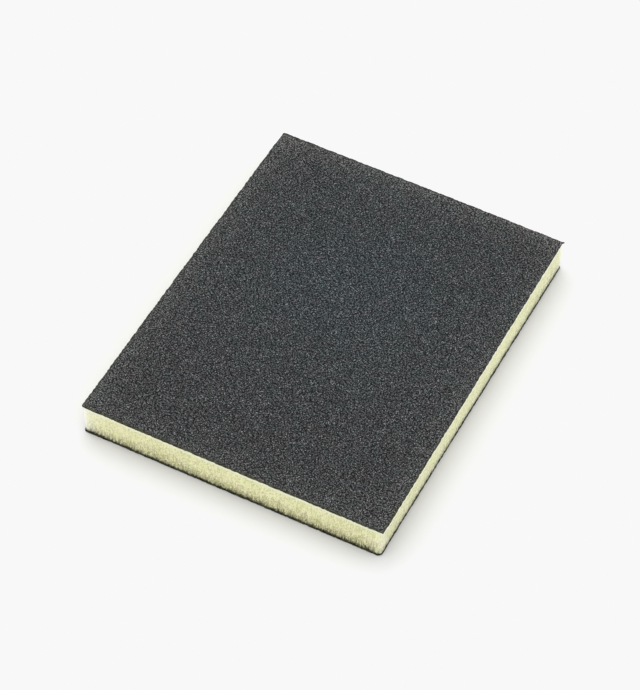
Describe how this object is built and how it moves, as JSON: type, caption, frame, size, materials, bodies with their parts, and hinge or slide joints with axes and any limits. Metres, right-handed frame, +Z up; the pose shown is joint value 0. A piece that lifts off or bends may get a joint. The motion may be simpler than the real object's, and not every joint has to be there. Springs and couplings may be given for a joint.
{
  "type": "sanding sponge",
  "caption": "Flat, flexible rectangular sanding sponge: a pale foam slab with a dark grit coat on both broad faces.",
  "frame": {"origin": "middle of the lower grit face, on the surface that the pad lies on", "axes": "+Y along the 120 mm side, +X along the 90 mm side, +Z up through the thickness"},
  "size_m": [0.09, 0.12, 0.01],
  "materials": {
    "foam": "matte open-cell polyurethane foam, pale yellow-green",
    "grit": "matte coat of dark grey mineral grit in resin"
  },
  "bodies": {
    "root": {"foam_core": "foam", "top_abrasive": "grit", "bottom_abrasive": "grit"}
  },
  "joints": []
}
